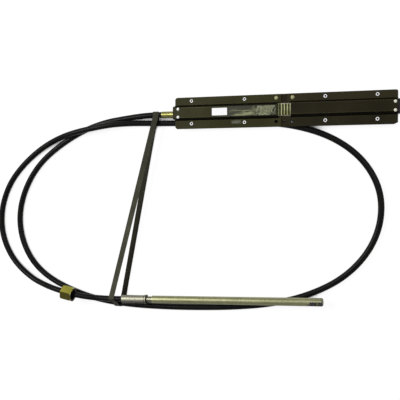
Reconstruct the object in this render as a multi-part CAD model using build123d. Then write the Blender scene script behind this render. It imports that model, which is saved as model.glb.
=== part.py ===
from build123d import *
import math
import os

# Boat steering rack with its push-pull cable and telescoping output ram.
# The origin is the middle of the pinion window, on the face that the helm bolts to.
# +X runs along the rack to its closed end, +Z stands out of the mounting face.

os.makedirs("parts", exist_ok=True)

# Housing sheets
sheet = 1.2
rail_depth = 15.0
flange_upper = 29.9
flange_lower = 32.8
flange_left = -222.8
flange_right = 209.0
channel_half = 13.4
channel_fillet = 2.0
hat_height = 8.0
hat_wall = 1.4
hat_base = 15.5
left_land_upper = 10.4
left_land_lower = 10.4
left_band_y = -0.9
right_band_y = 0.0
right_land_upper = 11.8
right_land_lower = 9.6
left_cover_end = -6.0
right_cover_start = 5.5
left_hat_end = -12.0
right_hat_start = 12.0
right_hat_bevel = 1.8
hat_bend = 1.6
hat_foot_bend = 0.8
left_corner = 3.5
right_corner = 2.2
right_low_corner_x = 7.0
right_low_corner_y = 3.2
cut_overrun = 1.0

# Where the floor is, below the mounting face
floor_z = -(rail_depth + 2 * sheet)

# Helm mounting holes and the fasteners
helm_hole_x = 15.8
helm_hole_y = 22.5
helm_hole_radius = 3.3
helm_screw_radius = 2.4
helm_screw_head_radius = 3.8
helm_screw_head_height = 2.2
helm_nut_flats = 8.0
helm_nut_height = 3.2
helm_screw_tail = 1.0
locating_hole_radius = 2.1
locating_hole_x = -1.5
rivet_row_y = 22.5
rivet_left_inset = 34.8
rivet_right_inset = 36.0
rivet_inner_left_x = -78.5
rivet_inner_right_x = 78.0
rivet_columns = [
    flange_left + rivet_left_inset,
    rivet_inner_left_x,
    rivet_inner_right_x,
    flange_right - rivet_right_inset,
]
rivet_radius = 2.0
rivet_head_radius = 3.5
rivet_head_height = 1.0
rivet_eye_radius = 1.6
rivet_eye_depth = 1.9
rivet_tail_radius = 2.7
rivet_tail_height = 1.6
end_rivet_radius = 1.6
end_rivet_head_radius = 2.9
end_rivet_head_height = 1.4
end_rivet_depth = 5.0
left_end_rivet_inset = 8.8
right_end_rivet_inset = 4.0
left_end_rivet_x = flange_left + left_end_rivet_inset
right_end_rivet_x = flange_right - right_end_rivet_inset
left_end_rivet_rows = (-9.4, 6.6)
right_end_rivet_rows = (-7.8, 7.8)
fit_clearance = 0.05

# End block and end plug
block_lip = 2.2
plug_lip = 4.0
lip_floor_gap = 1.0
lip_half = 13.0
lip_corner = 2.5
block_length = 11.3
plug_length = 8.5

# Rack bar and its runners
tooth_module = 1.8143
dedendum_share = 1.157
tooth_pitch = tooth_module * math.pi
tooth_dedendum = tooth_module * dedendum_share
tooth_count = 37
left_tooth_count = 4.5
tooth_offset = 0.65
rack_end_land = 0.8
rack_width = 22.2
tooth_tip_z = 2.6
pressure_angle = 20.0
wear_pad_thickness = 3.0
running_gap = 0.05
rack_pin_radius = 2.0
rack_pin_inset = 9.0

# Cable, its inner core and its sleeve in the end block
cable_diameter = 12.0
core_diameter = 6.0
core_clearance = 0.1
core_in_bar = 16.0
sleeve_radius = 6.7
sleeve_length = 28.4
sleeve_shank_radius = 5.5
sleeve_axis_y = -2.9
sleeve_axis_z = -4.6
sleeve_rim = 0.8
gap_points = 2800

# Output end: ferrule, collar, support tube and ram
ram_angle = 2.46
ram_axis_height = 20.5
ferrule_start_x = -342.2
ferrule_start_y = -383.93
ferrule_length = 51.6
ferrule_radius = 8.5
ferrule_rim = 0.8
ferrule_groove = 1.2
ferrule_groove_depth = 1.0
collar_length = 3.6
collar_radius = 9.65
neck_length = 12.6
support_tube_radius = 6.35
support_tube_bore = 4.2
support_tube_end_gap = 40.6
support_tube_socket = 20.0
ram_length = 350.6
ram_radius = 7.95
ram_bore_radius = 6.75
ram_bush_radius_gap = 0.05
ram_bush_length = 25.0
ram_tip_length = 42.6
ram_tip_spigot = 14.0
ram_tip_flat_length = 24.0
ram_tip_flat_half = 5.6
ram_tip_flat_turn = 38.0
ram_tip_chamfer = 1.8
cross_hole_radius = 4.8
cross_hole_inset = 11.2
pull_rod_radius = 3.5
pull_rod_inset = 16.0
pull_rod_socket = 8.0

# Coupling nut, loose on the cable
nut_center_x = -465.7
nut_center_y = -377.4
nut_axis_height = 28.9
nut_angle = -11.0
nut_flats = 28.575
nut_length = 25.0
nut_hole_radius = 8.7
nut_thread_radius = 10.25
nut_thread_depth = 16.0
nut_mouth = 1.5
nut_chamfer = 1.6
nut_turn = 15.0

# Retaining strap round the coil
strap_width = 12.0
strap_thickness = 0.8
strap_gap = 0.4
strap_front_top_x = -264.1
strap_back_top_x = -275.1
strap_front_low_x = -366.0
strap_back_low_x = -351.5
strap_wrap_steps = 8

# Blank label and scuffed film on the left cover
film_end_gap = 1.8
film_length = 96.0
film_width = 20.0
film_thickness = 0.15
label_gap = 1.8
label_length = 31.0
label_width = 14.4
label_thickness = 0.2

# Route of the cable, from the sleeve to the ferrule: x, y and height above the floor.
# It goes round the inner turn, under the ram, round the right side, under the rack,
# over itself, round the outer turn, through the nut and over itself again.
cable_route = [
    (-304, -4.5, 11.5),
    (-340, -8.2, 8.0),
    (-384, -14, 6.0),
    (-436, -30, 6.0),
    (-493, -60, 6.0),
    (-546, -100, 6.0),
    (-582, -152, 6.0),
    (-600, -210, 6.0),
    (-594, -268, 6.0),
    (-565, -320, 6.0),
    (-516, -356, 6.0),
    (-445, -382, 6.0),
    (-385, -393, 7.8),
    (-325, -397, 7.8),
    (-262, -397.5, 6.0),
    (-190, -395, 6.0),
    (-105, -389, 6.0),
    (-25, -378, 6.0),
    (48, -356, 6.0),
    (112, -321, 6.0),
    (158, -271, 6.0),
    (181, -213, 6.0),
    (179, -151, 6.0),
    (147, -95, 6.0),
    (92, -54, 6.0),
    (20, -30, 6.0),
    (-60, -21, 6.0),
    (-145, -20.5, 6.0),
    (-235, -20.3, 6.4),
    (-292, -18.6, 9.8),
    (-335, -18.5, 15.6),
    (-376, -21.5, 20.6),
    (-450, -34, 20.6),
    (-502, -48, 8.8),
    (-547, -71, 6.0),
    (-592, -107, 6.0),
    (-627, -150, 6.0),
    (-647, -207, 6.0),
    (-644, -263, 6.0),
    (-617, -315, 6.0),
    (-571, -351, 8.6),
    (-529, -365, 17.0),
    (-494, -371.6, 26.6),
    (-447, -380.6, 27.4),
    (-414, -384, 24.0),
    (-395, -384.8, 21.2),
]
arc_share = 0.45


# Helpers
def ring_solid(radius, length, start=0.0, hole=0.0):
    """A round bar or tube along +X from start."""
    plane = Plane(origin=(start, 0, 0), x_dir=(0, 1, 0), z_dir=(1, 0, 0))
    face = plane * Circle(radius)
    solid = extrude(face, amount=length)
    if hole:
        bore_plane = Plane(origin=(start - cut_overrun, 0, 0), x_dir=(0, 1, 0), z_dir=(1, 0, 0))
        solid -= extrude(bore_plane * Circle(hole), amount=length + 2 * cut_overrun)
    return solid


def upright(radius, low, high, x, y):
    """A round bar along Z between two heights."""
    return Pos(x, y, low) * extrude(Circle(radius), amount=high - low)


def block(x0, x1, y0, y1, z0, z1):
    """A box given by its two corners."""
    size = Box(x1 - x0, y1 - y0, z1 - z0, align=(Align.MIN, Align.MIN, Align.MIN))
    return Pos(x0, y0, z0) * size


def along_x(points, x0, x1):
    """A solid whose outline in the YZ plane runs from x0 to x1."""
    plane = Plane(origin=(x0, 0, 0), x_dir=(0, 1, 0), z_dir=(1, 0, 0))
    face = plane * make_face(Polyline(*points, close=True))
    return extrude(face, amount=x1 - x0)


def dome_arc(radius, low, height):
    """A spherical cap's outline, from its rim to its crown on the axis."""
    sphere = (radius ** 2 + height ** 2) / (2 * height)
    middle = radius / 2
    sag = sphere - math.sqrt(sphere ** 2 - middle ** 2)
    return ThreePointArc((radius, low), (middle, low + height - sag), (0, low + height))


def turned(outline, x, y):
    """A turned piece from a closed outline of radius and height, standing at x and y."""
    face = Plane.XZ * make_face(outline)
    return Pos(x, y, 0) * revolve(face, Axis.Z)


def solids_of(shape):
    """The shape's solids as a list."""
    return list(shape.solids())


def save(name, *shapes):
    """Write one node, from one or more separate solids."""
    solids = [solid for shape in shapes for solid in solids_of(shape)]
    target = solids[0] if len(solids) == 1 else Compound(children=solids)
    export_step(target, f"parts/{name}.step")


# Housing
channel_inner = channel_half - sheet
channel_floor = floor_z + sheet
rail_top = -sheet


def drill(plate, low, high):
    """Drill the flange rivets' holes and the helm's holes through a flange."""
    for x in rivet_columns:
        for y in (-rivet_row_y, rivet_row_y):
            plate -= upright(rivet_radius + fit_clearance, low, high, x, y)
    for x in (-helm_hole_x, helm_hole_x):
        plate -= upright(helm_hole_radius, low, high, x, -helm_hole_y)
        plate -= upright(helm_screw_radius + fit_clearance, low, high, x, helm_hole_y)
    return plate


def flange_plate(left, right, left_cuts, right_cuts, low, high):
    """The flat sheet of a cover or of the rail, with its corners cut."""
    lower_left, upper_left = left_cuts
    (low_x, low_y), upper_right = right_cuts
    outline = [
        (left + lower_left, -flange_lower),
        (right - low_x, -flange_lower),
        (right, -flange_lower + low_y),
        (right, flange_upper - upper_right),
        (right - upper_right, flange_upper),
        (left + upper_left, flange_upper),
        (left, flange_upper - upper_left),
        (left, -flange_lower + lower_left),
    ]
    points = []
    for point in outline:
        if not points or point != points[-1]:
            points.append(point)
    if points[0] == points[-1]:
        points.pop()
    face = make_face(Polyline(*points, close=True))
    return Pos(0, 0, low) * extrude(face, amount=high - low)


def hat_outline(land_lower, land_upper, inset, foot):
    """The raised band's outline in Y and Z, set in by a wall, down to a foot height."""
    top = hat_height - (sheet if inset else 0)
    return [
        (-(hat_base - inset), foot),
        (-(hat_base - inset), 0),
        (-(land_lower - inset), top),
        (land_upper - inset, top),
        (hat_base - inset, 0),
        (hat_base - inset, foot),
    ]


def make_back_rail():
    """Folded rail: flanges and the deep channel that the rack bar runs in."""
    corner = (right_low_corner_x, right_low_corner_y)
    low = -2 * sheet
    rail = flange_plate(flange_left, flange_right, (left_corner, left_corner),
                        (corner, right_corner), low, rail_top)
    channel = block(flange_left, flange_right, -channel_half, channel_half, floor_z, low)
    bottom = channel.edges().filter_by(Axis.X).group_by(Axis.Z)[0]
    rail += fillet(bottom, channel_fillet)
    rail -= block(flange_left - cut_overrun, flange_right + cut_overrun,
                  -channel_inner, channel_inner, channel_floor, rail_top + cut_overrun)
    rail = drill(rail, low - cut_overrun, rail_top + cut_overrun)
    rail -= upright(locating_hole_radius, low - cut_overrun, rail_top + cut_overrun,
                    locating_hole_x, -helm_hole_y)
    return rail


def make_cover(is_left):
    """A front cover: two flanges and the raised band between them."""
    if is_left:
        land_lower, land_upper = left_land_lower, left_land_upper
        start, end = flange_left, left_cover_end
        hat_start, hat_end, band_y = flange_left, left_hat_end, left_band_y
        plate = flange_plate(start, end, (left_corner, left_corner), ((0, 0), 0), rail_top, 0)
    else:
        land_lower, land_upper = right_land_lower, right_land_upper
        start, end = right_cover_start, flange_right
        hat_start, hat_end, band_y = right_hat_start, flange_right, right_band_y
        corner = (right_low_corner_x, right_low_corner_y)
        plate = flange_plate(start, end, (0, 0), (corner, right_corner), rail_top, 0)
    band = Pos(0, band_y, 0)
    cover = plate + band * along_x(hat_outline(land_lower, land_upper, 0, rail_top), hat_start, hat_end)
    inner = hat_outline(land_lower, land_upper, hat_wall, rail_top - cut_overrun)
    cover -= band * along_x(inner, start - cut_overrun, end + cut_overrun)
    if not is_left:
        bevel = Plane.XZ * make_face(Polyline(
            (hat_start - cut_overrun, 0),
            (hat_start, 0),
            (hat_start + right_hat_bevel, hat_height),
            (hat_start + right_hat_bevel, hat_height + cut_overrun),
            (hat_start - cut_overrun, hat_height + cut_overrun),
            close=True))
        cover -= extrude(bevel, amount=hat_base, both=True)
    ridges = cover.edges().filter_by(Axis.X).filter_by_position(Axis.Z, hat_height, hat_height)
    cover = fillet(ridges, hat_bend)
    feet = cover.edges().filter_by(Axis.X).filter_by_position(Axis.Z, 0, 0)
    feet = [edge for edge in feet if abs(abs(edge.center().Y - band_y) - hat_base) < hat_foot_bend]
    cover = fillet(feet, hat_foot_bend)
    cover = drill(cover, rail_top - cut_overrun, cut_overrun)
    rivet_x = left_end_rivet_x if is_left else right_end_rivet_x
    rivet_rows = left_end_rivet_rows if is_left else right_end_rivet_rows
    for y in rivet_rows:
        cover -= upright(end_rivet_radius + fit_clearance, 0, hat_height + cut_overrun, rivet_x, y)
    return cover


def end_core(land_lower, land_upper, band_y, x0, x1):
    """What fills the housing's hollow, with a small clearance all round."""
    inset = hat_wall + fit_clearance
    top = hat_height - sheet - fit_clearance
    side = channel_inner - fit_clearance
    floor = channel_floor + fit_clearance
    outline = [
        (-side, floor),
        (-side, rail_top),
        (-min(side, hat_base - inset - band_y), 0),
        (band_y - (land_lower - inset), top),
        (band_y + land_upper - inset, top),
        (min(side, hat_base - inset + band_y), 0),
        (side, rail_top),
        (side, floor),
    ]
    return along_x(outline, x0, x1)


def end_lip_outline():
    """The end lip's outline: a block as wide as the channel, with its top corners cut."""
    return [
        (-lip_half, floor_z + lip_floor_gap),
        (-lip_half, hat_height - lip_corner),
        (-lip_half + lip_corner, hat_height),
        (lip_half - lip_corner, hat_height),
        (lip_half, hat_height - lip_corner),
        (lip_half, floor_z + lip_floor_gap),
    ]


def make_cable_end_block():
    """Block in the left end: it holds the cable's sleeve."""
    lip = Pos(0, left_band_y, 0) * along_x(end_lip_outline(), flange_left - block_lip, flange_left)
    body = end_core(left_land_lower, left_land_upper, left_band_y, flange_left, flange_left + block_length)
    piece = lip + body
    start = flange_left - block_lip - cut_overrun
    bore = ring_solid(sleeve_shank_radius + fit_clearance, block_length + block_lip + 2 * cut_overrun, start)
    piece -= Pos(0, sleeve_axis_y, sleeve_axis_z) * bore
    for y in left_end_rivet_rows:
        piece -= upright(end_rivet_radius + fit_clearance, hat_height - sheet - end_rivet_depth,
                         hat_height + cut_overrun, left_end_rivet_x, y)
    return piece


def make_end_plug():
    """Plug in the right end of the housing."""
    lip = Pos(0, right_band_y, 0) * along_x(end_lip_outline(), flange_right, flange_right + plug_lip)
    body = end_core(right_land_lower, right_land_upper, right_band_y, flange_right - plug_length, flange_right)
    piece = lip + body
    for y in right_end_rivet_rows:
        piece -= upright(end_rivet_radius + fit_clearance, hat_height - sheet - end_rivet_depth,
                         hat_height + cut_overrun, right_end_rivet_x, y)
    return piece


def flange_rivet(x, y):
    """A blind rivet: rounded head with an open eye, shank and rolled tail."""
    low = -2 * sheet
    tail_middle = low - rivet_tail_height / 2
    tail_low = low - rivet_tail_height
    eye_floor = rivet_head_height - rivet_eye_depth
    crown = (rivet_head_radius + rivet_eye_radius) / 2
    outline = Polyline((0, eye_floor), (0, tail_low), (rivet_radius, tail_low))
    outline += ThreePointArc((rivet_radius, tail_low), (rivet_tail_radius, tail_middle), (rivet_radius, low))
    outline += Polyline((rivet_radius, low), (rivet_radius, 0), (rivet_head_radius, 0))
    outline += ThreePointArc((rivet_head_radius, 0), (crown, rivet_head_height), (rivet_eye_radius, 0))
    outline += Polyline((rivet_eye_radius, 0), (rivet_eye_radius, eye_floor), (0, eye_floor))
    return turned(outline, x, y)


def end_rivet(x, y):
    """A solid domed rivet through the raised band into an end block."""
    low = hat_height - sheet - end_rivet_depth + fit_clearance
    top = hat_height + end_rivet_head_height
    outline = Polyline((0, top), (0, low), (end_rivet_radius, low), (end_rivet_radius, hat_height),
                       (end_rivet_head_radius, hat_height))
    outline += dome_arc(end_rivet_head_radius, hat_height, end_rivet_head_height)
    return turned(outline, x, y)


def helm_screw(x):
    """A round head screw kept in the flange for the helm."""
    low = -2 * sheet - helm_nut_height - helm_screw_tail
    outline = Polyline((0, helm_screw_head_height), (0, low), (helm_screw_radius, low),
                       (helm_screw_radius, 0), (helm_screw_head_radius, 0))
    outline += dome_arc(helm_screw_head_radius, 0, helm_screw_head_height)
    return turned(outline, x, helm_hole_y)


def helm_screw_nut(x):
    """The nut under the flange."""
    hexagon = RegularPolygon(helm_nut_flats / 2, 6, major_radius=False)
    nut = extrude(hexagon - Circle(helm_screw_radius + fit_clearance), amount=helm_nut_height)
    return Pos(x, helm_hole_y, -2 * sheet - helm_nut_height) * nut


# Rack bar, runners and core
rack_left = tooth_offset - left_tooth_count * tooth_pitch - rack_end_land
rack_right = rack_left + 2 * rack_end_land + tooth_count * tooth_pitch
rack_bottom = channel_floor + wear_pad_thickness + running_gap
block_inner_face = flange_left + block_length
plug_inner_face = flange_right - plug_length
core_radius = core_diameter / 2


def make_rack_bar():
    """Square-section bar with straight teeth along its top."""
    pitch_z = tooth_tip_z - tooth_module
    root_z = pitch_z - tooth_dedendum
    slope = math.tan(math.radians(pressure_angle))
    half_tip = tooth_pitch / 4 - tooth_module * slope
    half_root = tooth_pitch / 4 + tooth_dedendum * slope
    points = [(rack_left, rack_bottom), (rack_left, root_z)]
    for i in range(tooth_count):
        middle = rack_left + rack_end_land + tooth_pitch * (i + 1 / 2)
        points += [
            (middle - half_root, root_z),
            (middle - half_tip, tooth_tip_z),
            (middle + half_tip, tooth_tip_z),
            (middle + half_root, root_z),
        ]
    points += [(rack_right, root_z), (rack_right, rack_bottom)]
    face = Plane.XZ * make_face(Polyline(*points, close=True))
    bar = extrude(face, amount=rack_width / 2, both=True)
    socket = ring_solid(core_radius + core_clearance, core_in_bar + cut_overrun, rack_left - cut_overrun)
    bar -= Pos(0, sleeve_axis_y, sleeve_axis_z) * socket
    bar -= upright(rack_pin_radius + fit_clearance, rack_bottom - cut_overrun,
                   sleeve_axis_z - core_radius - core_clearance / 2, rack_left + rack_pin_inset, sleeve_axis_y)
    return bar


def make_core_set_screw():
    """Set screw that holds the core in the bar's end."""
    return upright(rack_pin_radius, rack_bottom + fit_clearance, sleeve_axis_z - core_radius - core_clearance,
                   rack_left + rack_pin_inset, sleeve_axis_y)


def make_core_end():
    """The end of the inner core that is fixed in the bar."""
    rod = ring_solid(core_radius, core_in_bar - core_clearance, rack_left)
    return Pos(0, sleeve_axis_y, sleeve_axis_z) * rod


def make_rack_core():
    """The inner core's open stretch, from the sleeve to the bar."""
    start = flange_left - block_lip
    rod = ring_solid(core_radius, rack_left - start, start)
    return Pos(0, sleeve_axis_y, sleeve_axis_z) * rod


def make_guide_strip(side):
    """Strip beside the bar, standing on the wear pad."""
    inner = rack_width / 2 + running_gap
    low = channel_floor + wear_pad_thickness
    y0, y1 = sorted((side * inner, side * channel_inner))
    return block(block_inner_face, plug_inner_face, y0, y1, low, rail_top - sheet)


def make_wear_pad():
    """Flat pad under the bar."""
    return block(block_inner_face, plug_inner_face, -channel_inner, channel_inner,
                 channel_floor, channel_floor + wear_pad_thickness)


def make_sleeve():
    """Brass sleeve on the cable's end, with a shank in the end block."""
    lip_face = flange_left - block_lip
    start = lip_face - sleeve_length
    body = ring_solid(sleeve_radius, sleeve_length, start)
    rims = body.edges().filter_by(GeomType.CIRCLE)
    body = chamfer(rims, sleeve_rim)
    body += ring_solid(sleeve_shank_radius, block_length + block_lip, lip_face)
    body -= ring_solid(core_radius + core_clearance, sleeve_length + block_length + block_lip + 2 * cut_overrun,
                       start - cut_overrun)
    return Pos(0, sleeve_axis_y, sleeve_axis_z) * body


# Output end
ram_frame = Pos(ferrule_start_x, ferrule_start_y, floor_z + ram_axis_height) * Rot(0, 0, ram_angle)
collar_start = ferrule_length
neck_start = ferrule_length + collar_length
ram_start = neck_start + neck_length
ram_end = ram_start + ram_length
support_tube_start = neck_start - support_tube_socket
support_tube_end = ram_end - ram_tip_length - support_tube_end_gap


def make_ferrule():
    """Crimped ferrule with its groove and collar, open for the tube and the core."""
    body = ring_solid(ferrule_radius, ferrule_length)
    rim = body.edges().filter_by(GeomType.CIRCLE).sort_by(Axis.X)[0]
    body = chamfer(rim, ferrule_rim)
    groove = ring_solid(ferrule_radius + cut_overrun, ferrule_groove,
                        collar_start - ferrule_groove, ferrule_radius - ferrule_groove_depth)
    body -= groove
    body += ring_solid(collar_radius, collar_length, collar_start)
    body -= ring_solid(support_tube_radius + fit_clearance, support_tube_socket + cut_overrun,
                       support_tube_start)
    body -= ring_solid(core_radius + core_clearance, ferrule_length + cut_overrun, -cut_overrun)
    return ram_frame * body


def make_support_tube():
    """Fixed tube that the ram slides on."""
    tube = ring_solid(support_tube_radius, support_tube_end - support_tube_start, support_tube_start,
                      support_tube_bore)
    return ram_frame * tube


def make_ram_tube():
    """Outer tube of the ram."""
    length = ram_length - ram_tip_length + ram_tip_spigot
    tube = ring_solid(ram_radius, length, ram_start, ram_bore_radius)
    rim = tube.edges().filter_by(GeomType.CIRCLE).sort_by(Axis.X).group_by(Axis.X)[0]
    outer = [edge for edge in rim if edge.radius > ram_bore_radius + fit_clearance]
    tube = chamfer(outer, ferrule_rim / 2)
    return ram_frame * tube


def make_ram_bush():
    """Bush in the ram's mouth that runs on the support tube."""
    bush = ring_solid(ram_bore_radius, ram_bush_length, ram_start + ferrule_rim,
                      support_tube_radius + ram_bush_radius_gap)
    return ram_frame * bush


def make_ram_tip():
    """Solid end of the ram: spigot in the tube, two flats and the cross hole."""
    shoulder = ram_end - ram_tip_length + ram_tip_spigot
    tip = ring_solid(ram_radius, ram_end - shoulder, shoulder)
    rim = tip.edges().filter_by(GeomType.CIRCLE).sort_by(Axis.X)[-1]
    tip = chamfer(rim, ram_tip_chamfer)
    tip += ring_solid(ram_bore_radius, ram_tip_spigot, shoulder - ram_tip_spigot)
    flat_start = ram_end - ram_tip_flat_length
    for side in (-1, 1):
        z0, z1 = sorted((side * ram_tip_flat_half, side * (ram_radius + cut_overrun)))
        flat = block(flat_start, ram_end + cut_overrun, -ram_radius - cut_overrun,
                     ram_radius + cut_overrun, z0, z1)
        tip -= Rot(ram_tip_flat_turn, 0, 0) * flat
    hole = upright(cross_hole_radius, -ram_radius - cut_overrun, ram_radius + cut_overrun,
                   ram_end - cross_hole_inset, 0)
    tip -= Rot(ram_tip_flat_turn, 0, 0) * hole
    socket_start = shoulder - ram_tip_spigot - cut_overrun
    tip -= ring_solid(pull_rod_radius + fit_clearance, pull_rod_socket + cut_overrun, socket_start)
    return ram_frame * tip


def make_pull_rod():
    """Rod from the ram's tip back through the support tube."""
    end = ram_end - ram_tip_length + pull_rod_socket - fit_clearance
    start = ram_start + pull_rod_inset
    rod = ring_solid(pull_rod_radius, end - start, start)
    return ram_frame * rod


def make_coupling_nut():
    """Hexagon nut, open and threaded at its right end."""
    plane = Plane(origin=(-nut_length / 2, 0, 0), x_dir=(0, 1, 0), z_dir=(1, 0, 0))
    hexagon = RegularPolygon(nut_flats / 2, 6, major_radius=False, rotation=nut_turn)
    body = extrude(plane * hexagon, amount=nut_length)
    corner = nut_flats / math.sqrt(3)
    cone = [
        (-nut_length / 2, 0),
        (-nut_length / 2, corner - nut_chamfer),
        (-nut_length / 2 + nut_chamfer, corner),
        (nut_length / 2 - nut_chamfer, corner),
        (nut_length / 2, corner - nut_chamfer),
        (nut_length / 2, 0),
    ]
    body &= revolve(make_face(Polyline(*cone, close=True)), Axis.X)
    body -= ring_solid(nut_hole_radius, nut_length + 2 * cut_overrun, -nut_length / 2 - cut_overrun)
    body -= ring_solid(nut_thread_radius, nut_thread_depth + cut_overrun, nut_length / 2 - nut_thread_depth)
    mouth = [
        (nut_length / 2 - nut_mouth, 0),
        (nut_length / 2 - nut_mouth, nut_thread_radius),
        (nut_length / 2 + cut_overrun, nut_thread_radius + nut_mouth + cut_overrun),
        (nut_length / 2 + cut_overrun, 0),
    ]
    body -= revolve(make_face(Polyline(*mouth, close=True)), Axis.X)
    place = Pos(nut_center_x, nut_center_y, floor_z + nut_axis_height) * Rot(0, 0, nut_angle)
    return place * body


# Cable
def cable_points():
    """The whole route as points, with straight ends at the sleeve and the ferrule."""
    start = Vector(flange_left - block_lip - sleeve_length, sleeve_axis_y, sleeve_axis_z)
    turn = math.radians(ram_angle)
    end = Vector(ferrule_start_x, ferrule_start_y, floor_z + ram_axis_height)
    middle = [Vector(x, y, floor_z + height) for x, y, height in cable_route]
    first = start - Vector(2 * cable_diameter, 0, 0)
    last = end - Vector(math.cos(turn), math.sin(turn), 0) * 2 * cable_diameter
    return [start, first] + middle + [last, end]


def arc_radii(points):
    """Each corner's arc radius: a share of its shorter run over the half turn's tangent."""
    radii = []
    for before, corner, after in zip(points, points[1:], points[2:]):
        run_in = corner - before
        run_out = after - corner
        half_turn = math.radians(run_in.get_angle(run_out)) / 2
        shorter = min(run_in.length, run_out.length)
        radii.append(arc_share * shorter / math.tan(half_turn))
    return radii


def least_gap(path):
    """The least gap between two stretches of the cable, on points along its middle."""
    places = [tuple(path @ (step / gap_points)) for step in range(gap_points + 1)]
    apart = math.ceil(gap_points * 5 * cable_diameter / path.length)
    nearest = min(math.dist(place, other) for index, place in enumerate(places)
                  for other in places[index + apart:])
    return nearest - cable_diameter


def make_cable():
    """The cable's jacket as one tube along runs and tangent arcs."""
    points = cable_points()
    radii = arc_radii(points)
    path = FilletPolyline(*points, radius=radii)
    section = Plane(origin=path @ 0, z_dir=path % 0) * Circle(cable_diameter / 2)
    tube = sweep(section, path=path)
    area = math.pi * cable_diameter ** 2 / 4
    print("cable radii", [round(radius) for radius in radii])
    print("cable length", round(path.length, 1), "volume share", round(tube.volume / area / path.length, 4))
    print("cable least gap", round(least_gap(path), 2))
    return tube


# Retaining strap
def place_on_run(points, x, y):
    """Where the cable's centre passes an x, on the run whose middle lies nearest to x and y."""
    best = None
    for before, after in zip(points, points[1:]):
        if (before.X - x) * (after.X - x) > 0:
            continue
        share = (x - before.X) / (after.X - before.X)
        place = before + (after - before) * share
        if best is None or abs(place.Y - y) < abs(best.Y - y):
            best = place
    return best


def strap_section(x, y, z, angle):
    """A flat section of the strap, facing outward at an angle in the YZ plane."""
    outward = Vector(0, math.cos(angle), math.sin(angle))
    across = Vector(1, 0, 0)
    plane = Plane(origin=(x, y, z), x_dir=across, z_dir=across.cross(outward))
    return plane * Rectangle(strap_width, strap_thickness)


def wrap_sections(center, angle_from, angle_to, x_from, x_to, steps):
    """Sections round one strand, from one outward angle to another."""
    stand = cable_diameter / 2 + strap_gap + strap_thickness / 2
    sections = []
    for i in range(steps + 1):
        share = i / steps
        angle = angle_from + (angle_to - angle_from) * share
        x = x_from + (x_to - x_from) * share
        y = center.Y + stand * math.cos(angle)
        z = center.Z + stand * math.sin(angle)
        sections.append(strap_section(x, y, z, angle))
    return sections


def make_retaining_strap():
    """Closed band: round both strands beside the rack, and round the ferrule's end of the coil."""
    points = cable_points()
    sleeve_strand = place_on_run(points, strap_front_top_x, sleeve_axis_y)
    return_strand = place_on_run(points, strap_back_top_x, sleeve_axis_y - 2 * cable_diameter)
    upper_strand = place_on_run(points, strap_front_low_x, ferrule_start_y)
    lower_strand = place_on_run(points, strap_back_low_x, ferrule_start_y - 2 * cable_diameter)
    quarter = math.pi / 2
    top_slope = math.atan2(return_strand.Z - sleeve_strand.Z, return_strand.Y - sleeve_strand.Y) + quarter
    low_slope = math.atan2(lower_strand.Z - upper_strand.Z, lower_strand.Y - upper_strand.Y) - quarter
    low_slope += 2 * math.pi
    top_middle_x = (strap_front_top_x + strap_back_top_x) / 2
    low_middle_x = (strap_front_low_x + strap_back_low_x) / 2
    top_wrap = wrap_sections(sleeve_strand, quarter, top_slope, strap_front_top_x, top_middle_x, strap_wrap_steps)
    top_wrap += wrap_sections(return_strand, top_slope, -quarter, top_middle_x, strap_back_top_x, 1)
    low_wrap = wrap_sections(upper_strand, quarter, low_slope, strap_front_low_x, low_middle_x, strap_wrap_steps)
    low_wrap += wrap_sections(lower_strand, low_slope, 3 * quarter, low_middle_x, strap_back_low_x, strap_wrap_steps)
    front = loft([low_wrap[0], top_wrap[0]], ruled=True)
    back = loft([top_wrap[-1], low_wrap[-1]], ruled=True)
    return front + loft(top_wrap, ruled=True) + back + loft(low_wrap, ruled=True)


film_right = left_hat_end - film_end_gap
film_left = film_right - film_length
label_right = film_left - label_gap


def make_film():
    """Scuffed film on the left cover's band, beside the window."""
    return block(film_left, film_right, left_band_y - film_width / 2, left_band_y + film_width / 2,
                 hat_height, hat_height + film_thickness)


def make_label():
    """Blank label on the left cover's band."""
    return block(label_right - label_length, label_right,
                 left_band_y - label_width / 2, left_band_y + label_width / 2,
                 hat_height, hat_height + label_thickness)


# Write the nodes
save("back_rail", make_back_rail())
save("left_cover", make_cover(True))
save("right_cover", make_cover(False))
save("cable_end_block", make_cable_end_block())
save("end_plug", make_end_plug())
save("flange_rivets", *[flange_rivet(x, y) for x in rivet_columns for y in (-rivet_row_y, rivet_row_y)])
save("left_end_rivets", *[end_rivet(left_end_rivet_x, y) for y in left_end_rivet_rows])
save("right_end_rivets", *[end_rivet(right_end_rivet_x, y) for y in right_end_rivet_rows])
save("helm_screws", *[helm_screw(x) for x in (-helm_hole_x, helm_hole_x)])
save("helm_screw_nuts", *[helm_screw_nut(x) for x in (-helm_hole_x, helm_hole_x)])
save("rack_bar", make_rack_bar())
save("core_set_screw", make_core_set_screw())
save("core_end", make_core_end())
save("rack_core", make_rack_core())
save("upper_guide_strip", make_guide_strip(1))
save("lower_guide_strip", make_guide_strip(-1))
save("wear_pad", make_wear_pad())
save("cable_sleeve", make_sleeve())
save("cable_jacket", make_cable())
save("ferrule", make_ferrule())
save("support_tube", make_support_tube())
save("ram_tube", make_ram_tube())
save("ram_bush", make_ram_bush())
save("ram_tip", make_ram_tip())
save("pull_rod", make_pull_rod())
save("coupling_nut", make_coupling_nut())
save("retaining_strap", make_retaining_strap())
save("blank_label", make_label())
save("scuffed_film", make_film())
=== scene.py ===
import math

import bpy
from mathutils import Matrix, Vector


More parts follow.
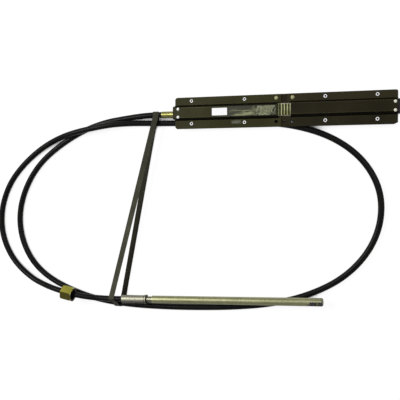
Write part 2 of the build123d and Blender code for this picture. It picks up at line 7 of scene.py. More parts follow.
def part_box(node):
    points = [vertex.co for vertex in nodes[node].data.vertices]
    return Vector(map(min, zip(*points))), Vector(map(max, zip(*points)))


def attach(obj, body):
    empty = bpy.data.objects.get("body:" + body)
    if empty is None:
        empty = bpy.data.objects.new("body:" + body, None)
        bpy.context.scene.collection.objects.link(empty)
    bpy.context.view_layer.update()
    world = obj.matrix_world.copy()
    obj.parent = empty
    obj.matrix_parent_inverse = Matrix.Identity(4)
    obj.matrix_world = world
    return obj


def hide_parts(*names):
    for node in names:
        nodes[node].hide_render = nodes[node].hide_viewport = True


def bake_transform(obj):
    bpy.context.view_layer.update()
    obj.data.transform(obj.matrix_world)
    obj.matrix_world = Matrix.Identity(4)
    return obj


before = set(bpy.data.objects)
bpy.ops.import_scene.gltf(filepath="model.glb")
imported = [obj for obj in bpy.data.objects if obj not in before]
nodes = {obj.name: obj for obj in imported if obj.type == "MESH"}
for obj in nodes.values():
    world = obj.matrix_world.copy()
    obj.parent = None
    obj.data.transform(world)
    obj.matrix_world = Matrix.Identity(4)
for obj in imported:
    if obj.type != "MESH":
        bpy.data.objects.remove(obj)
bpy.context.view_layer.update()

# Where things are, in metres from the middle of the pinion window
FLOOR_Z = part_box("back_rail")[0].z
RACK_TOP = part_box("rack_bar")[1].z
RAM_ANGLE = math.radians(2.46)
RAM_START = (-0.3422, -0.38393, 0.0031)
RAM_AXIS = (math.cos(RAM_ANGLE), math.sin(RAM_ANGLE), 0.0)
RAM_TURN = (0, 0, -RAM_ANGLE)
FLAT_TURN = math.radians(38.0)
FLAT_AXIS = (
    math.sin(RAM_ANGLE) * math.sin(FLAT_TURN),
    -math.cos(RAM_ANGLE) * math.sin(FLAT_TURN),
    math.cos(FLAT_TURN),
)
NUT_CENTRE = (-0.4657, -0.3774, 0.0115)
NUT_TURN = math.radians(-11.0)
NUT_AXIS = (math.cos(NUT_TURN), math.sin(NUT_TURN), 0.0)
CABLE_DIAMETER = 0.012
CABLE_START = Vector((-0.2534, -0.0029, -0.0046))
CABLE_END = Vector(RAM_START)

# Where the marks, the painted shade and the painted highlights are on the pieces, in metres
RESIDUE = ((-0.1046, -0.0243), (-0.0862, -0.0185))
RESIDUE_RIM = 0.0015
UPPER_FLANGE = (0.0140, 0.0160)
FERRULE_END_HIGHLIGHT = (0.0000, 0.0006)
CRIMP_GROOVE = (0.0502, 0.0518)
BEHIND_COLLAR = (0.0549, 0.0560)
NECK_DARKENING = (0.0550, 0.0700)
TOOTH_GAP_SHADE = (0.0045, 0.0015)
NUT_BORE_RIM = (0.0122, 0.0128)
RIVET_EYE_HEIGHT = 0.0004
FILM_RIM = (0.0010, 0.0009)
STRAP_ABOVE_CABLE = (-0.0040, 0.0015)
STRAP_BEFORE_CABLE = (-0.3870, -0.3820)
STRAP_PALING = (-0.06, -0.22)

# The side of a round piece that faces the floor and the front, darkened there as painted shade
SHADED_SIDE = (0.0, -0.8, -0.6)
SHADE_SOFTNESS = 0.5


# Camera, at the photograph's angle
CAMERA_PLACE = Vector((0.2790, -0.1104, 1.3035))
CAMERA_RIGHT = Vector((0.9453, -0.0041, -0.3261))
CAMERA_UP = Vector((-0.0114, 0.9989, -0.0456))
CAMERA_BACK = Vector((0.3259, 0.0468, 0.9442))
CAMERA_LENS = 62.1
CAMERA_SENSOR = 36.0


def make_camera():
    """The photograph's view."""
    data = bpy.data.cameras.new("camera")
    data.lens = CAMERA_LENS
    data.sensor_width = CAMERA_SENSOR
    camera = bpy.data.objects.new("camera", data)
    bpy.context.scene.collection.objects.link(camera)
    back = CAMERA_BACK.normalized()
    right = (CAMERA_RIGHT - back * CAMERA_RIGHT.dot(back)).normalized()
    up = back.cross(right)
    turn = Matrix((right, up, back)).transposed()
    camera.matrix_world = Matrix.Translation(CAMERA_PLACE) @ turn.to_4x4()
    bpy.context.scene.camera = camera


make_camera()


# Sockets of a colour mix, which are told apart by number alone
MIX_FIRST = 6
MIX_SECOND = 7
MIX_RESULT = 2


# Material helpers
class Shader:
    """A material's node tree, with short ways to add what the materials share."""

    def __init__(self, name):
        self.material = bpy.data.materials.new(name)
        self.material.use_nodes = True
        self.tree = self.material.node_tree
        self.bsdf = self.tree.nodes["Principled BSDF"]
        coordinates = self.add("ShaderNodeTexCoord").outputs
        self.place = coordinates["Object"]
        self.facing = coordinates["Normal"]

    def add(self, kind, **settings):
        node = self.tree.nodes.new(kind)
        for key, value in settings.items():
            setattr(node, key, value)
        return node

    def link(self, start, end):
        self.tree.links.new(start, end)

    def put(self, **values):
        """Uniform values on the shader's own sockets."""
        for key, value in values.items():
            self.bsdf.inputs[key.replace("_", " ")].default_value = value

    def mapped(self, scale=(1, 1, 1), turn=(0, 0, 0), place=(0, 0, 0)):
        node = self.add("ShaderNodeMapping")
        node.inputs["Scale"].default_value = scale
        node.inputs["Rotation"].default_value = turn
        node.inputs["Location"].default_value = place
        self.link(self.place, node.inputs["Vector"])
        return node.outputs["Vector"]

    def noise(self, scale, detail=4.0, roughness=0.55, vector=None, distortion=0.0):
        node = self.add("ShaderNodeTexNoise")
        node.inputs["Scale"].default_value = scale
        node.inputs["Detail"].default_value = detail
        node.inputs["Roughness"].default_value = roughness
        node.inputs["Distortion"].default_value = distortion
        self.link(vector or self.place, node.inputs["Vector"])
        return node.outputs["Fac"]

    def span(self, value, low, high, out_low=0.0, out_high=1.0):
        """A value's stretch from low to high, mapped to another stretch and clamped."""
        node = self.add("ShaderNodeMapRange")
        node.inputs["From Min"].default_value = low
        node.inputs["From Max"].default_value = high
        node.inputs["To Min"].default_value = out_low
        node.inputs["To Max"].default_value = out_high
        self.link(value, node.inputs["Value"])
        return node.outputs["Result"]

    def math(self, operation, first, second=0.0):
        node = self.add("ShaderNodeMath", operation=operation)
        for socket, value in zip(node.inputs, (first, second)):
            if isinstance(value, (int, float)):
                socket.default_value = value
            else:
                self.link(value, socket)
        return node.outputs["Value"]

    def mix(self, factor, first, second):
        """A colour between two, by a factor."""
        node = self.add("ShaderNodeMix", data_type="RGBA")
        self.link(factor, node.inputs["Factor"])
        for number, value in ((MIX_FIRST, first), (MIX_SECOND, second)):
            if isinstance(value, tuple):
                node.inputs[number].default_value = (*value, 1.0)
            else:
                self.link(value, node.inputs[number])
        return node.outputs[MIX_RESULT]

    def axis(self, name, vector=None):
        """One coordinate of the piece's own frame, or of another vector."""
        node = self.add("ShaderNodeSeparateXYZ")
        self.link(vector or self.place, node.inputs["Vector"])
        return node.outputs[name]

    def along(self, axis, vector=None, origin=None):
        """How far the place, or another vector, goes along an axis from an origin."""
        node = self.add("ShaderNodeVectorMath", operation="DOT_PRODUCT")
        node.inputs[1].default_value = axis
        self.link(vector or self.place, node.inputs[0])
        if origin is None:
            return node.outputs["Value"]
        return self.math("SUBTRACT", node.outputs["Value"], Vector(axis).dot(Vector(origin)))

    def ring(self, value, low, high, soft):
        """One while a value is between low and high, with soft ends."""
        rise = self.span(value, low - soft, low + soft)
        fall = self.span(value, high - soft, high + soft, 1.0, 0.0)
        return self.math("MULTIPLY", rise, fall)

    def patch(self, low, high, soft):
        """One inside a rectangle in X and Y, with a soft rim."""
        across = self.ring(self.axis("X"), low[0], high[0], soft)
        up = self.ring(self.axis("Y"), low[1], high[1], soft)
        return self.math("MULTIPLY", across, up)

    def bump(self, height, depth, normal=None):
        node = self.add("ShaderNodeBump")
        node.inputs["Strength"].default_value = 1.0
        node.inputs["Distance"].default_value = depth
        self.link(height, node.inputs["Height"])
        if normal is not None:
            self.link(normal, node.inputs["Normal"])
        return node.outputs["Normal"]

    def finish(self, colour=None, roughness=None, normal=None):
        for value, key in ((colour, "Base Color"), (roughness, "Roughness"), (normal, "Normal")):
            if value is not None:
                self.link(value, self.bsdf.inputs[key])
        return self.material


def black_coat(name, wall_shade, colour, dust, residue=None, upper_lighter=0.0):
    """Satin black coat on folded sheet: painted shade on steep walls, dusty level faces, and rubbed bends
    with a painted highlight.
    Residue is the two corners of a patch of dried adhesive. Upper lighter is how much lighter the coat
    turns towards the upper flange."""
    shader = Shader(name)
    shader.put(Specular_IOR_Level=0.07)
    drift = shader.span(shader.noise(14.0, 5.0, 0.6), 0.35, 0.72)
    streaks = shader.noise(60.0, 6.0, 0.65, shader.mapped((0.25, 2.2, 2.2)))
    rubbed = shader.span(streaks, 0.60, 0.78)
    tone = shader.mix(shader.math("MULTIPLY", drift, 0.4), colour, dust)
    tone = shader.mix(shader.math("MULTIPLY", rubbed, 0.4), tone, dust)
    # Lighter towards the upper flange.
    if upper_lighter:
        upper = shader.span(shader.axis("Y"), *UPPER_FLANGE, 0.0, upper_lighter)
        tone = shader.mix(upper, tone, dust)
    if residue:
        patch = shader.patch(*residue, soft=RESIDUE_RIM)
        broken = shader.span(shader.noise(240.0, 5.0, 0.65), 0.32, 0.55)
        tone = shader.mix(shader.math("MULTIPLY", patch, broken), tone, (0.135, 0.135, 0.105))
    # Painted shade: steep walls take the near-black colour, level faces keep the dusty tone.
    upward = shader.axis("Z", shader.facing)
    level = shader.span(upward, 0.86, 0.975)
    tone = shader.mix(level, wall_shade, tone)
    # Rubbed bends with a painted highlight: the bends between walls and level faces are made paler.
    leaning = shader.span(upward, 0.90, 0.965)
    bend = shader.math("MULTIPLY", leaning, shader.span(upward, 0.992, 0.9995, 1.0, 0.0))
    paler = shader.math("MULTIPLY", bend, shader.span(streaks, 0.30, 0.60, 0.35, 1.0))
    tone = shader.mix(paler, tone, tuple(2.3 * value for value in dust))
    rough = shader.span(shader.noise(38.0, 4.0), 0.3, 0.75, 0.36, 0.52)
    peel = shader.noise(1500.0, 2.0, 0.5)
    normal = shader.bump(peel, 0.00004)
    normal = shader.bump(streaks, 0.00006, normal)
    return shader.finish(tone, rough, normal)


def plated(name, colour, deep, rough_low, rough_high, grain=420.0, stretch=(1, 1, 1), turn=(0, 0, 0),
           metallic=1.0, pits=0.000008, marks=None):
    """Plated or bare metal: drawn or turned grain, and a stain that drifts.
    Marks gives a factor and a colour for each part of the surface that looks different, painted shade and
    painted highlights among them."""
    shader = Shader(name)
    shader.put(Metallic=metallic)
    grains = shader.noise(grain, 3.0, 0.5, shader.mapped(stretch, turn))
    stain = shader.span(shader.noise(55.0, 5.0, 0.62), 0.38, 0.72)
    tone = shader.mix(stain, colour, deep)
    tone = shader.mix(shader.span(grains, 0.35, 0.85, 0.0, 0.45), tone, deep)
    if marks:
        for factor, mark in marks(shader):
            tone = shader.mix(factor, tone, mark)
    rough = shader.span(grains, 0.3, 0.75, rough_low, rough_high)
    return shader.finish(tone, rough, shader.bump(grains, pits))


def shaded_underside(shader, start, share, colour):
    """Painted shade on the side of a round piece that lies on the floor, away from the light."""
    side = shader.along(SHADED_SIDE, shader.facing)
    return shader.span(side, start, start + SHADE_SOFTNESS, 0.0, share), colour


def ferrule_marks(shader):
    """Painted shade in the crimp groove, behind the collar and on the underside, and a painted highlight
    at the left end.
    """
    yield shaded_underside(shader, -0.42, 0.95, (0.042, 0.040, 0.036))
    reach = shader.along(RAM_AXIS, None, RAM_START)
    groove = shader.ring(reach, *CRIMP_GROOVE, soft=0.0003)
    behind = shader.ring(reach, *BEHIND_COLLAR, soft=0.0002)
    end_highlight = shader.ring(reach, *FERRULE_END_HIGHLIGHT, soft=0.0003)
    # Painted shade in the crimp groove and behind the collar.
    yield shader.math("MULTIPLY", groove, 0.9), (0.045, 0.050, 0.018)
    yield shader.math("MULTIPLY", behind, 0.8), (0.060, 0.062, 0.030)
    # Painted highlight at the ferrule's left end.
    yield shader.math("MULTIPLY", end_highlight, 0.6), (0.30, 0.29, 0.24)


def tube_marks(shader):
    """Darker on the tube's neck, most where it leaves the collar, and painted shade on the underside."""
    reach = shader.along(RAM_AXIS, None, RAM_START)
    yield shader.span(reach, *NECK_DARKENING, 0.85, 0.45), (0.10, 0.10, 0.055)
    yield shaded_underside(shader, -0.42, 0.92, (0.036, 0.034, 0.030))


def ram_marks(shader):
    """Painted shade on the underside."""
    yield shaded_underside(shader, -0.05, 0.90, (0.075, 0.072, 0.050))


def tip_marks(shader):
    """Flats darkened as a painted reflection, a darker end, and painted shade on the underside."""
    yield shaded_underside(shader, -0.05, 0.90, (0.070, 0.068, 0.048))
    across = shader.along(FLAT_AXIS, shader.facing)
    flats = shader.span(shader.math("ABSOLUTE", across), 0.96, 0.995)
    end = shader.span(shader.along(RAM_AXIS, shader.facing), 0.35, 0.65)
    # Painted reflection of dark surroundings on the flats.
    yield shader.math("MULTIPLY", flats, 0.92), (0.045, 0.036, 0.062)
    yield shader.math("MULTIPLY", end, 0.75), (0.10, 0.105, 0.070)


def rack_marks(shader):
    """Painted shade between the teeth."""
    low, high = (RACK_TOP - depth for depth in TOOTH_GAP_SHADE)
    yield shader.span(shader.axis("Z"), low, high, 0.92, 0.0), (0.010, 0.010, 0.004)


def nut_painted_light(shader):
    """Painted shade on the front flat, a painted highlight on the chamfer, and painted shade on the
    machined end and in its bore.
    """
    forward = shader.along(NUT_AXIS, shader.facing)
    front = shader.span(shader.axis("Y", shader.facing), 0.0, 0.35, 0.95, 0.0)
    edge = shader.ring(forward, 0.25, 0.85, 0.08)
    end = shader.span(shader.math("ABSOLUTE", forward), 0.90, 0.97)
    inward = shader.add("ShaderNodeVectorMath", operation="LENGTH")
    offset = shader.add("ShaderNodeVectorMath", operation="SUBTRACT")
    offset.inputs[1].default_value = NUT_CENTRE
    shader.link(shader.place, offset.inputs[0])
    cross = shader.add("ShaderNodeVectorMath", operation="CROSS_PRODUCT")
    cross.inputs[1].default_value = NUT_AXIS
    shader.link(offset.outputs["Vector"], cross.inputs[0])
    shader.link(cross.outputs["Vector"], inward.inputs[0])
    bore = shader.span(inward.outputs["Value"], *NUT_BORE_RIM, 1.0, 0.0)
    # Painted shade on the front flat, painted highlight on the chamfer, painted shade on the ends and in
    # the bore.
    yield front, (0.070, 0.057, 0.003)
    yield edge, (0.72, 0.66, 0.34)
    yield end, (0.050, 0.036, 0.012)
    yield bore, (0.022, 0.014, 0.004)


def moulded(name, colour, pale, roughness_low=0.45, roughness_high=0.62, specular=0.4):
    """Moulded plastic: fine grain and pale handling marks."""
    shader = Shader(name)
    shader.put(Specular_IOR_Level=specular)
    marks = shader.span(shader.noise(90.0, 6.0, 0.62), 0.52, 0.75)
    tone = shader.mix(marks, colour, pale)
    grain = shader.noise(2200.0, 3.0, 0.5)
    rough = shader.span(shader.noise(160.0, 3.0), 0.3, 0.7, roughness_low, roughness_high)
    return shader.finish(tone, rough, shader.bump(grain, 0.00003))


def cable_black():
    """Extruded jacket: slightly glossy black, with dull patches and fine scratches along it."""
    shader = Shader("cable_black")
    shader.put(Specular_IOR_Level=0.07)
    dull = shader.span(shader.noise(30.0, 5.0, 0.6), 0.35, 0.7)
    tone = shader.mix(dull, (0.0046, 0.0041, 0.0055), (0.0085, 0.0079, 0.0064))
    scratch = shader.noise(260.0, 6.0, 0.7)
    rough = shader.span(scratch, 0.35, 0.75, 0.30, 0.36)
    return shader.finish(tone, rough, shader.bump(scratch, 0.000008))


def scuffed_film():
    """Smeared film: dark with pale streaks at its left, silvery, wrinkled and rubbed at its right."""
    shader = Shader("scuffed_film_look")
    shader.put(Specular_IOR_Level=0.2)
    low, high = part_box("scuffed_film")
    length = high.x - low.x
    place = shader.axis("X")
    height = shader.axis("Y")
    silver = shader.span(place, low.x + 0.46 * length, low.x + 0.62 * length)
    smear = shader.mapped((0.22, 1.8, 1.0), (0, 0, math.radians(8)))
    streaks = shader.noise(120.0, 4.0, 0.6, smear, distortion=0.6)
    blotches = shader.noise(68.0, 4.0, 0.55, distortion=1.0)
    fold = shader.mapped((1.5, 0.6, 1.0), (0, 0, math.radians(-35)))
    creases = shader.noise(70.0, 3.0, 0.5, fold, distortion=1.4)
    fleck_noise = shader.noise(330.0, 3.0, 0.6, distortion=1.0)
    lower_half = shader.span(height, high.y * 0.45, low.y * 0.2)
    streak_share = shader.math("MULTIPLY", shader.span(streaks, 0.47, 0.58), lower_half)
    fading = shader.span(place, low.x, low.x + 0.2 * length, 0.35, 1.0)
    streak_share = shader.math("MULTIPLY", streak_share, fading)
    dark_end = shader.mix(streak_share, (0.034, 0.035, 0.020), (0.24, 0.25, 0.135))
    rubbed = shader.span(blotches, 0.455, 0.575)
    silver_end = shader.mix(rubbed, (0.016, 0.019, 0.006), (0.150, 0.160, 0.088))
    silver_end = shader.mix(shader.ring(creases, 0.53, 0.565, 0.012), silver_end, (0.30, 0.32, 0.20))
    tone = shader.mix(silver, dark_end, silver_end)
    flecks = shader.math("MULTIPLY", shader.span(fleck_noise, 0.60, 0.68), silver)
    tone = shader.mix(flecks, tone, (0.42, 0.44, 0.32))
    rim_x = shader.ring(place, low.x + FILM_RIM[0], high.x - FILM_RIM[0], 0.0006)
    rim_y = shader.ring(height, low.y + FILM_RIM[1], high.y - FILM_RIM[1], 0.0007)
    tone = shader.mix(shader.math("MULTIPLY", rim_x, rim_y), (0.020, 0.020, 0.010), tone)
    rough = shader.span(blotches, 0.3, 0.7, 0.26, 0.5)
    return shader.finish(tone, rough, shader.bump(blotches, 0.0003))


def label_white():
    """Blank white label, faintly soiled."""
    shader = Shader("label_white")
    shader.put(Specular_IOR_Level=0.35)
    soil = shader.span(shader.noise(140.0, 5.0, 0.6), 0.5, 0.8, 0.0, 0.6)
    tone = shader.mix(soil, (0.95, 0.945, 0.955), (0.80, 0.79, 0.81))
    rough = shader.span(shader.noise(400.0, 3.0), 0.3, 0.7, 0.4, 0.55)
    return shader.finish(tone, rough, shader.bump(shader.noise(1800.0, 3.0), 0.00002))


def strap_web():
    """Matt dark strap with a fine cross weave, dusty where it lies on top and darker towards its upper
    end, with painted shade where it passes under and between the cables.
    """
    shader = Shader("strap_web")
    shader.put(Specular_IOR_Level=0.15, Sheen_Weight=0.05)
    weave = shader.add("ShaderNodeTexWave", wave_type="BANDS", bands_direction="Y")
    weave.inputs["Scale"].default_value = 320.0
    weave.inputs["Distortion"].default_value = 1.5
    shader.link(shader.place, weave.inputs["Vector"])
    dust = shader.span(shader.noise(35.0, 5.0, 0.6), 0.35, 0.7)
    upper = shader.mix(dust, (0.046, 0.044, 0.028), (0.070, 0.068, 0.044))
    # Painted shade where the strap passes under and between the cables.
    lower = shader.mix(dust, (0.014, 0.013, 0.007), (0.024, 0.022, 0.012))
    raised = shader.span(shader.axis("Z"), *STRAP_ABOVE_CABLE)
    shown = shader.span(shader.axis("Y"), *STRAP_BEFORE_CABLE)
    paler = shader.span(shader.axis("Y"), *STRAP_PALING, 0.35, 1.0)
    raised = shader.math("MULTIPLY", raised, shader.math("MULTIPLY", shown, paler))
    tone = shader.mix(raised, lower, upper)
    rough = shader.span(shader.noise(300.0, 3.0), 0.3, 0.7, 0.6, 0.8)
    return shader.finish(tone, rough, shader.bump(weave.outputs["Fac"], 0.00012))


def coated_head(name, colour, grime, eye_height=None):
    """Coated rivet heads, with painted shade in the eye below a height where they are open."""
    shader = Shader(name)
    shader.put(Specular_IOR_Level=0.4)
    spots = shader.span(shader.noise(900.0, 4.0, 0.6), 0.55, 0.75)
    tone = shader.mix(spots, colour, grime)
    if eye_height is not None:
        outside = shader.span(shader.axis("Z"), eye_height - 0.0002, eye_height + 0.0001)
        upward = shader.span(shader.axis("Z", shader.facing), 0.45, 0.72)
        outside = shader.math("MULTIPLY", outside, upward)
        # Painted shade in the open eye.
        tone = shader.mix(outside, (0.006, 0.005, 0.006), tone)
    rough = shader.span(shader.noise(600.0, 3.0), 0.3, 0.7, 0.35, 0.5)
    return shader.finish(tone, rough, shader.bump(shader.noise(1500.0, 3.0), 0.00002))


# Materials of the imported nodes
# Near black for the steep walls, as painted shade.
SHADED_WALL_BLACK = (0.0030, 0.0026, 0.0012)
# The left cover's coat is the same black as the right's, made lighter as a painted sheen from a lamp's
# reflection.
LEFT_BLACK_SHEENED = black_coat("black_coat_left", SHADED_WALL_BLACK, (0.0235, 0.0222, 0.0055), (0.056, 0.054, 0.0215),
                        RESIDUE)
RIGHT_BLACK = black_coat("black_coat_right", SHADED_WALL_BLACK, (0.0125, 0.0098, 0.0042), (0.034, 0.030, 0.013),
                         upper_lighter=0.6)
RAIL_BLACK = black_coat("black_coat_rail", SHADED_WALL_BLACK, (0.014, 0.010, 0.0040), (0.036, 0.030, 0.012))
BLOCK_BLACK = moulded("block_black", (0.007, 0.007, 0.0045), (0.020, 0.019, 0.013), specular=0.15)
PLUG_BLACK = moulded("plug_black", (0.008, 0.006, 0.009), (0.022, 0.018, 0.023), specular=0.15)
NYLON = moulded("nylon_natural", (0.62, 0.61, 0.52), (0.45, 0.44, 0.34), 0.4, 0.55)
DRAWN = (0.05, 1, 1)
RAM_STEEL = plated("ram_stainless", (0.345, 0.345, 0.200), (0.265, 0.265, 0.145), 0.42, 0.52, 500.0, DRAWN,
                   RAM_TURN, marks=ram_marks)
TIP_STEEL = plated("tip_stainless", (0.38, 0.38, 0.23), (0.28, 0.28, 0.16), 0.38, 0.48, 520.0, DRAWN,
                   RAM_TURN, marks=tip_marks)
FERRULE_STEEL = plated("ferrule_stainless", (0.37, 0.365, 0.280), (0.28, 0.275, 0.210), 0.46, 0.56, 300.0,
                       (1, 0.1, 0.1), marks=ferrule_marks)
TUBE_STEEL = plated("tube_stainless", (0.56, 0.55, 0.43), (0.38, 0.37, 0.28), 0.28, 0.40, 500.0, DRAWN,
                    RAM_TURN, marks=tube_marks)
SLEEVE_BRASS = plated("sleeve_brass", (0.35, 0.337, 0.124), (0.21, 0.197, 0.053), 0.30, 0.42, 300.0,
                      (1, 0.1, 0.1))
NUT_ZINC = plated("nut_yellow_zinc", (0.39, 0.365, 0.050), (0.28, 0.260, 0.028), 0.36, 0.50, 360.0,
                  (1, 0.4, 0.4), metallic=0.55, pits=0.00002, marks=nut_painted_light)
RACK_STEEL = plated("rack_greased_steel", (0.63, 0.65, 0.38), (0.27, 0.26, 0.10), 0.25, 0.42, 420.0,
                    (1, 0.12, 1), metallic=0.8, marks=rack_marks)
PALE_ZINC = plated("pale_zinc", (0.42, 0.42, 0.22), (0.30, 0.30, 0.15), 0.45, 0.6, 700.0, metallic=0.15)
PLAIN_STEEL = plated("plain_steel", (0.55, 0.55, 0.53), (0.38, 0.37, 0.35), 0.25, 0.4, 500.0, (0.1, 1, 1))

FINISHES = {
    "back_rail": RAIL_BLACK,
    "left_cover": LEFT_BLACK_SHEENED,
    "right_cover": RIGHT_BLACK,
    "cable_end_block": BLOCK_BLACK,
    "end_plug": PLUG_BLACK,
    "flange_rivets": coated_head("flange_rivet_white", (0.97, 0.97, 0.97), (0.82, 0.82, 0.80),
                                 RIVET_EYE_HEIGHT),
    "left_end_rivets": coated_head("end_rivet_white", (0.92, 0.92, 0.90), (0.74, 0.74, 0.70)),
    "right_end_rivets": coated_head("end_rivet_cream", (0.74, 0.74, 0.60), (0.52, 0.52, 0.38)),
    "helm_screws": PALE_ZINC,
    "helm_screw_nuts": PALE_ZINC,
    "rack_bar": RACK_STEEL,
    "core_set_screw": PLAIN_STEEL,
    "core_end": PLAIN_STEEL,
    "upper_guide_strip": NYLON,
    "lower_guide_strip": NYLON,
    "wear_pad": NYLON,
    "cable_sleeve": SLEEVE_BRASS,
    "ferrule": FERRULE_STEEL,
    "support_tube": TUBE_STEEL,
    "ram_tube": RAM_STEEL,
    "ram_bush": NYLON,
    "ram_tip": TIP_STEEL,
    "pull_rod": PLAIN_STEEL,
    "coupling_nut": NUT_ZINC,
    "retaining_strap": strap_web(),
    "blank_label": label_white(),
    "scuffed_film": scuffed_film(),
}


def dress(item, material):
    """Give an object one material."""
    item.data.materials.clear()
    item.data.materials.append(material)


for node_name, finish in FINISHES.items():
    dress(nodes[node_name], finish)


# The inner core between the sleeve and the rack bar
CORE_SIDES = 48


def make_core():
    """A round bar held by the sleeve at one end and by the rack bar at the other. It has rings of
    points at its two ends only."""
    low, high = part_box("rack_core")
    middle = (low + high) / 2
    radius = (high.z - low.z) / 2
    points = []
    for x in (low.x, high.x):
        for side in range(CORE_SIDES):
            turn = 2 * math.pi * side / CORE_SIDES
            points.append((x, middle.y + radius * math.cos(turn), middle.z + radius * math.sin(turn)))
    faces = [tuple(range(CORE_SIDES))[::-1], tuple(range(CORE_SIDES, 2 * CORE_SIDES))]
    for side in range(CORE_SIDES):
        after = (side + 1) % CORE_SIDES
        faces.append((side, after, CORE_SIDES + after, CORE_SIDES + side))
    mesh = bpy.data.meshes.new("open_core")
    mesh.from_pydata(points, [], faces)
    for face in mesh.polygons[2:]:
        face.use_smooth = True
    core = bpy.data.objects.new("open_core", mesh)
    bpy.context.scene.collection.objects.link(core)
    dress(core, PLAIN_STEEL)
    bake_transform(core)
    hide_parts("rack_core")


make_core()


# The cable, from the sleeve round both turns to the ferrule: X, Y and height over the floor
CABLE_ROUTE = [
    (-0.304, -0.0045, 0.0115),
    (-0.340, -0.0082, 0.0080),
    (-0.384, -0.014, 0.006),
    (-0.436, -0.030, 0.006),
    (-0.493, -0.060, 0.006),
    (-0.546, -0.100, 0.006),
    (-0.582, -0.152, 0.006),
    (-0.600, -0.210, 0.006),
    (-0.594, -0.268, 0.006),
    (-0.565, -0.320, 0.006),
    (-0.516, -0.356, 0.006),
    (-0.445, -0.382, 0.006),
    (-0.385, -0.393, 0.0078),
    (-0.325, -0.397, 0.0078),
    (-0.262, -0.3975, 0.006),
    (-0.190, -0.395, 0.006),
    (-0.105, -0.389, 0.006),
    (-0.025, -0.378, 0.006),
    (0.048, -0.356, 0.006),
    (0.112, -0.321, 0.006),
    (0.158, -0.271, 0.006),
    (0.181, -0.213, 0.006),
    (0.179, -0.151, 0.006),
    (0.147, -0.095, 0.006),
    (0.092, -0.054, 0.006),
    (0.020, -0.030, 0.006),
    (-0.060, -0.021, 0.006),
    (-0.145, -0.0205, 0.006),
    (-0.235, -0.0203, 0.0064),
    (-0.292, -0.0186, 0.0098),
    (-0.335, -0.0185, 0.0156),
    (-0.376, -0.0215, 0.0206),
    (-0.450, -0.034, 0.0206),
    (-0.502, -0.048, 0.0088),
    (-0.547, -0.071, 0.006),
    (-0.592, -0.107, 0.006),
    (-0.627, -0.150, 0.006),
    (-0.647, -0.207, 0.006),
    (-0.644, -0.263, 0.006),
    (-0.617, -0.315, 0.006),
    (-0.571, -0.351, 0.0086),
    (-0.529, -0.365, 0.0170),
    (-0.494, -0.3716, 0.0266),
    (-0.447, -0.3806, 0.0274),
    (-0.414, -0.384, 0.0240),
    (-0.395, -0.3848, 0.0212),
]


def cable_points():
    """The route with its straight ends at the sleeve and at the ferrule."""
    straight = 2 * CABLE_DIAMETER
    middle = [Vector((x, y, FLOOR_Z + height)) for x, y, height in CABLE_ROUTE]
    first = CABLE_START - Vector((straight, 0, 0))
    last = CABLE_END - Vector(RAM_AXIS) * straight
    return [CABLE_START, first] + middle + [last, CABLE_END]


def make_cable():
    """One smooth line through the whole coil."""
    points = cable_points()
    curve = bpy.data.curves.new("steering_cable", "CURVE")
    curve.dimensions = "3D"
    spline = curve.splines.new("NURBS")
    spline.points.add(len(points) - 1)
    for slot, point in zip(spline.points, points):
        slot.co = (*point, 1.0)
    spline.order_u = 3
    spline.use_endpoint_u = True
    spline.resolution_u = 12
    curve.bevel_depth = CABLE_DIAMETER / 2
    curve.bevel_resolution = 8
    curve.use_fill_caps = True
    cable = bpy.data.objects.new("steering_cable", curve)
    bpy.context.scene.collection.objects.link(cable)
    dress(cable, cable_black())
    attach(cable, "housing")
    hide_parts("cable_jacket")


make_cable()


# Floor and light
FLOOR_HALF = 4.0
FLOOR_GAP = 0.0002
FLOOR_PALE = 0.93
FLOOR_GLOW = 1.06
GLOW_SHARE = 0.86
SHADE_REACH = 0.03
SHADE_SAMPLES = 8
# For each kind of ray: how open the floor is where it starts to glow, and where it glows in full
OPENNESS = {
    "Is Camera Ray": (0.24, 0.42),
    "Is Transmission Ray": (0.24, 0.42),
    "Is Glossy Ray": (0.30, 0.95),
}
SKY_STRENGTH = 0.25
# For each kind of ray: how bright the sky looks, where it isn't the light's own strength
SKY_SEEN = {
    "Is Camera Ray": 1.0,
    "Is Transmission Ray": 1.0,
    "Is Glossy Ray": 0.4,
}
# Name, place, aim, size and power
LAMPS = [
    ("key", (-1.50, 0.35, 1.7), (-0.2, -0.2, 0), 0.9, 34),
    ("fill", (0.9, 0.6, 1.7), (-0.1, -0.15, 0), 1.2, 14),
]


def largest(tree, values):
    """The largest of several sockets' values."""
    top = values[0]
    for value in values[1:]:
        larger = tree.nodes.new("ShaderNodeMath")
        larger.operation = "MAXIMUM"
        tree.links.new(top, larger.inputs[0])
        tree.links.new(value, larger.inputs[1])
        top = larger.outputs[0]
    return top


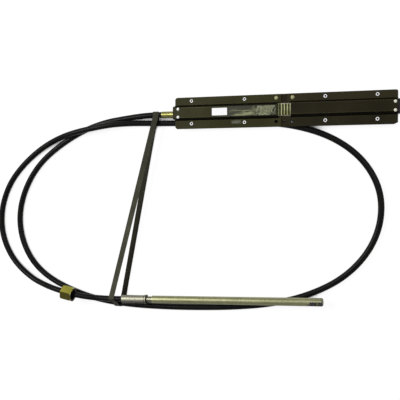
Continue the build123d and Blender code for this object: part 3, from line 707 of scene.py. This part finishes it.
def make_floor():
    """A plain pale floor that keeps a soft shadow."""
    half = FLOOR_HALF
    mesh = bpy.data.meshes.new("floor")
    corners = [(-half, -half, 0), (half, -half, 0), (half, half, 0), (-half, half, 0)]
    mesh.from_pydata(corners, [], [(0, 1, 2, 3)])
    floor = bpy.data.objects.new("floor", mesh)
    floor.location = (0, 0, FLOOR_Z - FLOOR_GAP)
    bpy.context.scene.collection.objects.link(floor)
    material = bpy.data.materials.new("floor_pale")
    material.use_nodes = True
    tree = material.node_tree
    tree.nodes.clear()
    output = tree.nodes.new("ShaderNodeOutputMaterial")
    diffuse = tree.nodes.new("ShaderNodeBsdfDiffuse")
    diffuse.inputs["Color"].default_value = (FLOOR_PALE, FLOOR_PALE, FLOOR_PALE, 1)
    glow = tree.nodes.new("ShaderNodeEmission")
    glow.inputs["Color"].default_value = (1, 1, 1, 1)
    glow.inputs["Strength"].default_value = FLOOR_GLOW
    path = tree.nodes.new("ShaderNodeLightPath")
    opened = tree.nodes.new("ShaderNodeAmbientOcclusion")
    opened.inputs["Distance"].default_value = SHADE_REACH
    opened.samples = SHADE_SAMPLES
    shares = []
    for ray, (low, high) in OPENNESS.items():
        clear = tree.nodes.new("ShaderNodeMapRange")
        clear.inputs["From Min"].default_value = low
        clear.inputs["From Max"].default_value = high
        clear.inputs["To Max"].default_value = GLOW_SHARE
        tree.links.new(opened.outputs["AO"], clear.inputs["Value"])
        share = tree.nodes.new("ShaderNodeMath")
        share.operation = "MULTIPLY"
        tree.links.new(path.outputs[ray], share.inputs[0])
        tree.links.new(clear.outputs["Result"], share.inputs[1])
        shares.append(share.outputs[0])
    blend = tree.nodes.new("ShaderNodeMixShader")
    tree.links.new(largest(tree, shares), blend.inputs["Fac"])
    tree.links.new(diffuse.outputs[0], blend.inputs[1])
    tree.links.new(glow.outputs[0], blend.inputs[2])
    tree.links.new(blend.outputs[0], output.inputs["Surface"])
    mesh.materials.append(material)


def make_lamp(name, place, aim, size, power):
    """A square soft box."""
    data = bpy.data.lights.new(name, "AREA")
    data.shape = "SQUARE"
    data.size = size
    data.energy = power
    lamp = bpy.data.objects.new(name, data)
    lamp.location = place
    direction = Vector(aim) - Vector(place)
    lamp.rotation_euler = direction.to_track_quat("-Z", "Y").to_euler()
    bpy.context.scene.collection.objects.link(lamp)


def make_world():
    """Even soft light from all round, behind which the camera sees white."""
    world = bpy.data.worlds.new("studio")
    world.use_nodes = True
    tree = world.node_tree
    background = tree.nodes["Background"]
    background.inputs["Color"].default_value = (1.0, 1.0, 1.0, 1)
    path = tree.nodes.new("ShaderNodeLightPath")
    strengths = []
    for ray, brightness in SKY_SEEN.items():
        seen = tree.nodes.new("ShaderNodeMapRange")
        seen.inputs["To Min"].default_value = SKY_STRENGTH
        seen.inputs["To Max"].default_value = brightness
        tree.links.new(path.outputs[ray], seen.inputs["Value"])
        strengths.append(seen.outputs["Result"])
    tree.links.new(largest(tree, strengths), background.inputs["Strength"])
    bpy.context.scene.world = world


make_floor()
for lamp in LAMPS:
    make_lamp(*lamp)
make_world()
bpy.context.scene.view_settings.view_transform = "Standard"
